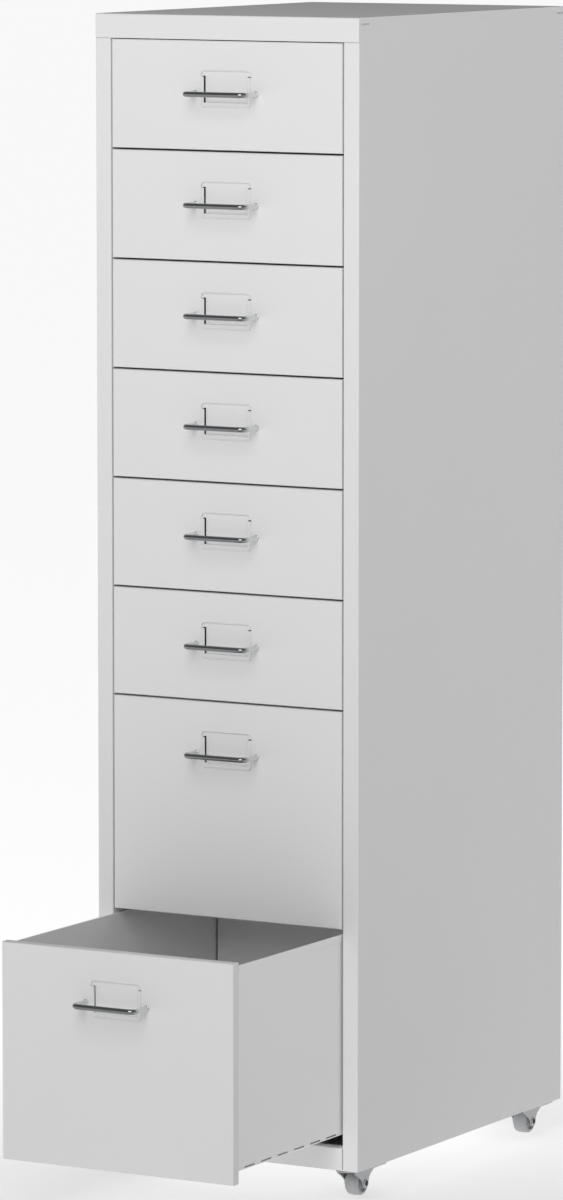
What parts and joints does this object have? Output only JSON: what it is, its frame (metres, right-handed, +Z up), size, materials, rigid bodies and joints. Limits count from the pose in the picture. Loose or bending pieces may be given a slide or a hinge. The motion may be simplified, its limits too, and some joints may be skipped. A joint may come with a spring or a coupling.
{
  "type": "mobile office cabinet",
  "caption": "Narrow folded-steel drawer cabinet on swivel casters, with wire bow handles and stamped label holders; the lowest drawer stands pulled out.",
  "frame": {"origin": "floor level, at the middle of the whole object's footprint with the lowest drawer pulled out", "axes": "+Z up, -Y towards the drawer fronts, +X to the right when facing the fronts"},
  "size_m": [0.278, 0.631, 1.09],
  "materials": {
    "powder_coated_steel": "satin",
    "chrome_wire": "polished",
    "zinc_plated_steel": "satin",
    "caster_steel": "satin",
    "caster_plastic": "matte"
  },
  "bodies": {
    "carcass": {"back_panel": "powder_coated_steel", "base_panel": "powder_coated_steel", "caster_front_left_plate": "caster_steel", "caster_front_right_plate": "caster_steel", "caster_kingpins": "zinc_plated_steel", "caster_rear_left_plate": "caster_steel", "caster_rear_right_plate": "caster_steel", "caster_swivel_bearings": "zinc_plated_steel", "runners_left": "powder_coated_steel", "runners_right": "powder_coated_steel", "side_panel_left": "powder_coated_steel", "side_panel_right": "powder_coated_steel", "top_panel": "powder_coated_steel"},
    "drawer_1": {"drawer_1_front": "powder_coated_steel", "drawer_1_handle": "chrome_wire", "drawer_1_handle_screws": "zinc_plated_steel", "drawer_1_tray": "powder_coated_steel"},
    "drawer_2": {"drawer_2_front": "powder_coated_steel", "drawer_2_handle": "chrome_wire", "drawer_2_handle_screws": "zinc_plated_steel", "drawer_2_tray": "powder_coated_steel"},
    "drawer_3": {"drawer_3_front": "powder_coated_steel", "drawer_3_handle": "chrome_wire", "drawer_3_handle_screws": "zinc_plated_steel", "drawer_3_tray": "powder_coated_steel"},
    "drawer_4": {"drawer_4_front": "powder_coated_steel", "drawer_4_handle": "chrome_wire", "drawer_4_handle_screws": "zinc_plated_steel", "drawer_4_tray": "powder_coated_steel"},
    "drawer_5": {"drawer_5_front": "powder_coated_steel", "drawer_5_handle": "chrome_wire", "drawer_5_handle_screws": "zinc_plated_steel", "drawer_5_tray": "powder_coated_steel"},
    "drawer_6": {"drawer_6_front": "powder_coated_steel", "drawer_6_handle": "chrome_wire", "drawer_6_handle_screws": "zinc_plated_steel", "drawer_6_tray": "powder_coated_steel"},
    "drawer_7": {"drawer_7_front": "powder_coated_steel", "drawer_7_handle": "chrome_wire", "drawer_7_handle_screws": "zinc_plated_steel", "drawer_7_tray": "powder_coated_steel"},
    "drawer_8": {"drawer_8_front": "powder_coated_steel", "drawer_8_handle": "chrome_wire", "drawer_8_handle_screws": "zinc_plated_steel", "drawer_8_tray": "powder_coated_steel"},
    "front_left_fork": {"caster_front_left_fork": "caster_steel", "caster_front_left_axle": "zinc_plated_steel"},
    "front_left_wheel": {"caster_front_left_wheel": "caster_plastic"},
    "front_right_fork": {"caster_front_right_fork": "caster_steel", "caster_front_right_axle": "zinc_plated_steel"},
    "front_right_wheel": {"caster_front_right_wheel": "caster_plastic"},
    "rear_left_fork": {"caster_rear_left_fork": "caster_steel", "caster_rear_left_axle": "zinc_plated_steel"},
    "rear_left_wheel": {"caster_rear_left_wheel": "caster_plastic"},
    "rear_right_fork": {"caster_rear_right_fork": "caster_steel", "caster_rear_right_axle": "zinc_plated_steel"},
    "rear_right_wheel": {"caster_rear_right_wheel": "caster_plastic"}
  },
  "joints": [
    {"name": "drawer_1_slide", "type": "slide", "parent": "carcass", "child": "drawer_1", "axis": [0, -1, 0], "range_m": [0, 0.328]},
    {"name": "drawer_2_slide", "type": "slide", "parent": "carcass", "child": "drawer_2", "axis": [0, -1, 0], "range_m": [0, 0.328]},
    {"name": "drawer_3_slide", "type": "slide", "parent": "carcass", "child": "drawer_3", "axis": [0, -1, 0], "range_m": [0, 0.328]},
    {"name": "drawer_4_slide", "type": "slide", "parent": "carcass", "child": "drawer_4", "axis": [0, -1, 0], "range_m": [0, 0.328]},
    {"name": "drawer_5_slide", "type": "slide", "parent": "carcass", "child": "drawer_5", "axis": [0, -1, 0], "range_m": [0, 0.328]},
    {"name": "drawer_6_slide", "type": "slide", "parent": "carcass", "child": "drawer_6", "axis": [0, -1, 0], "range_m": [0, 0.328]},
    {"name": "drawer_7_slide", "type": "slide", "parent": "carcass", "child": "drawer_7", "axis": [0, -1, 0], "range_m": [0, 0.328]},
    {"name": "drawer_8_slide", "type": "slide", "parent": "carcass", "child": "drawer_8", "axis": [0, -1, 0], "range_m": [-0.198, 0.13]},
    {"name": "front_left_swivel", "type": "hinge", "parent": "carcass", "child": "front_left_fork", "pos_m": [-0.114, -0.0555, 0.0273], "axis": [0, 0, 1], "continuous": true},
    {"name": "front_left_roll", "type": "hinge", "parent": "front_left_fork", "child": "front_left_wheel", "pos_m": [-0.114, -0.0485, 0.012], "axis": [1, 0, 0], "continuous": true},
    {"name": "front_right_swivel", "type": "hinge", "parent": "carcass", "child": "front_right_fork", "pos_m": [0.114, -0.0555, 0.0273], "axis": [0, 0, 1], "continuous": true},
    {"name": "front_right_roll", "type": "hinge", "parent": "front_right_fork", "child": "front_right_wheel", "pos_m": [0.114, -0.0485, 0.012], "axis": [1, 0, 0], "continuous": true},
    {"name": "rear_left_swivel", "type": "hinge", "parent": "carcass", "child": "rear_left_fork", "pos_m": [-0.114, 0.2795, 0.0273], "axis": [0, 0, 1], "continuous": true},
    {"name": "rear_left_roll", "type": "hinge", "parent": "rear_left_fork", "child": "rear_left_wheel", "pos_m": [-0.114, 0.2865, 0.012], "axis": [1, 0, 0], "continuous": true},
    {"name": "rear_right_swivel", "type": "hinge", "parent": "carcass", "child": "rear_right_fork", "pos_m": [0.114, 0.2795, 0.0273], "axis": [0, 0, 1], "continuous": true},
    {"name": "rear_right_roll", "type": "hinge", "parent": "rear_right_fork", "child": "rear_right_wheel", "pos_m": [0.114, 0.2865, 0.012], "axis": [1, 0, 0], "continuous": true}
  ]
}
